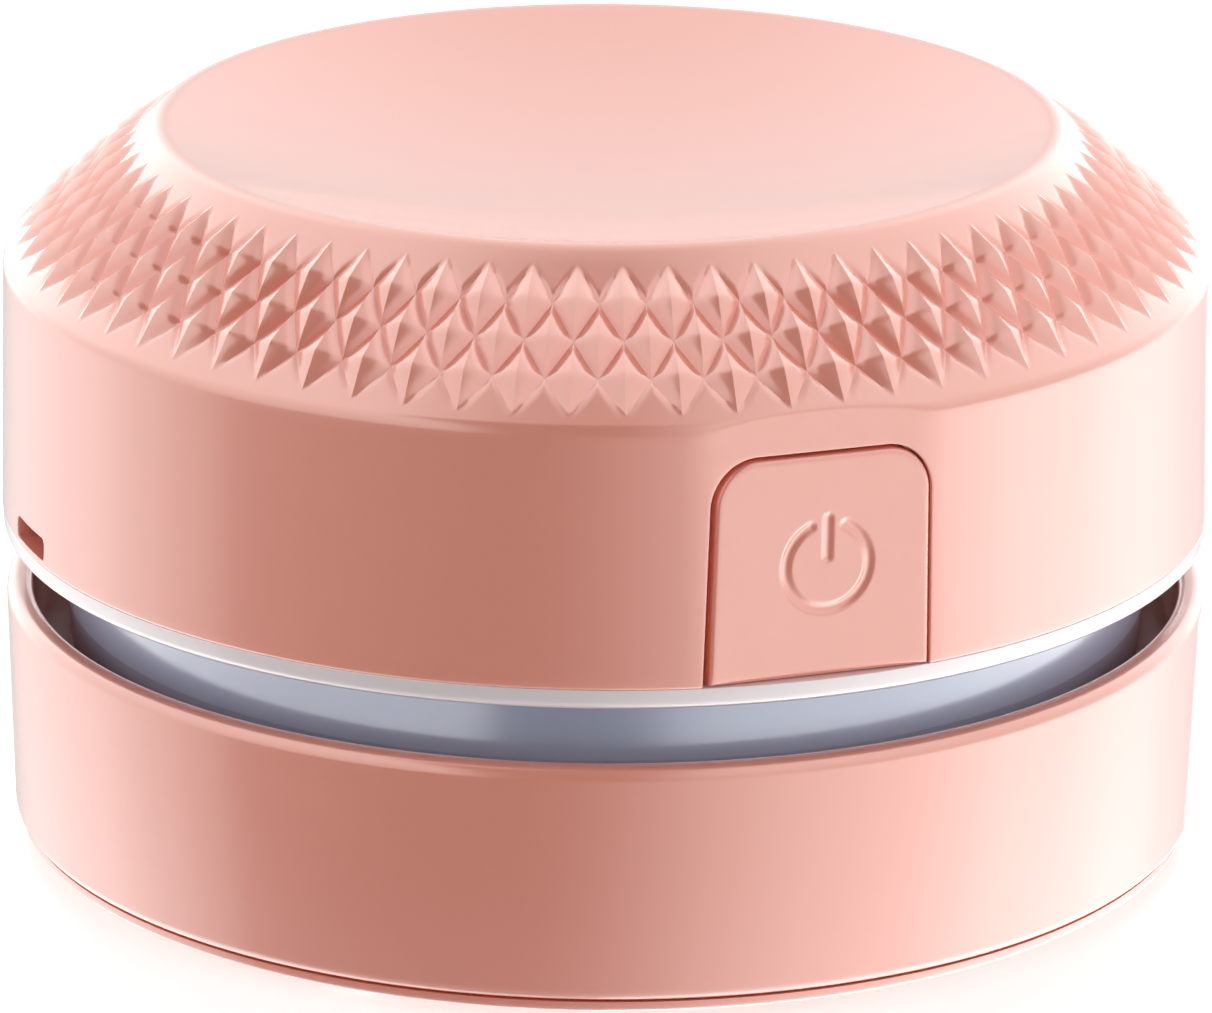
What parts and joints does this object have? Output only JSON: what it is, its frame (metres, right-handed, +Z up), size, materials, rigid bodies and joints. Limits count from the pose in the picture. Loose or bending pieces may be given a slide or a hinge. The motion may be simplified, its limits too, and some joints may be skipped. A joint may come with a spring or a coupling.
{
  "type": "desktop vacuum cleaner",
  "caption": "Round cordless desktop vacuum cleaner: knurled bevel grip, dished top, push button, charging port, and a motor unit that lifts out of its dust base.",
  "frame": {"origin": "on the table, under the middle of the base", "axes": "+Z up, -Y through the power button, -X through the charging port"},
  "size_m": [0.085, 0.0849, 0.0515],
  "materials": {
    "pink_plastic": "glossy moulded plastic, pale salmon pink",
    "white_plastic": "glossy white plastic, faintly cool",
    "grey_plastic": "satin light grey plastic",
    "black_plastic": "matt black plastic",
    "filter_cloth": "pleated non-woven filter paper",
    "rubber": "matt soft rubber",
    "board_green": "solder mask over glass laminate",
    "cell_wrap": "shrink sleeve over a metal can",
    "steel": "plated steel",
    "bristle": "nylon bristle"
  },
  "bodies": {
    "base": {"base_cup": "pink_plastic", "dust_bin": "pink_plastic", "bottom_plate": "pink_plastic", "base_screws": "steel", "bristle_strips": "bristle", "foot_pads": "rubber"},
    "filter": {"filter_frame": "grey_plastic", "filter_media": "filter_cloth", "filter_seal": "rubber"},
    "unit": {"top_shell": "pink_plastic", "chassis": "white_plastic", "chassis_screws": "steel", "circuit_board": "board_green", "board_screws": "steel", "usb_socket": "steel", "tact_switch": "black_plastic", "battery_cell": "cell_wrap", "fan_housing": "white_plastic", "fan_screws": "steel", "motor_can": "steel", "motor_screws": "steel"},
    "rotor": {"motor_shaft": "steel", "impeller": "white_plastic"},
    "button": {"power_button": "pink_plastic", "switch_plunger": "black_plastic"}
  },
  "joints": [
    {"name": "base_lift", "type": "slide", "parent": "base", "child": "filter", "axis": [0, 0, 1], "range_m": [0, 0.012]},
    {"name": "filter_twist", "type": "hinge", "parent": "filter", "child": "unit", "pos_m": [0, 0, 0.0188], "axis": [0, 0, 1], "range_deg": [0, 25]},
    {"name": "fan_spin", "type": "hinge", "parent": "unit", "child": "rotor", "pos_m": [0, 0, 0.03], "axis": [0, 0, 1], "continuous": true},
    {"name": "button_press", "type": "slide", "parent": "unit", "child": "button", "axis": [0, 0.9999, -0.0168], "range_m": [0, 0.0006], "stiffness_N_per_m": 2000, "springref_m": -0.0002}
  ]
}
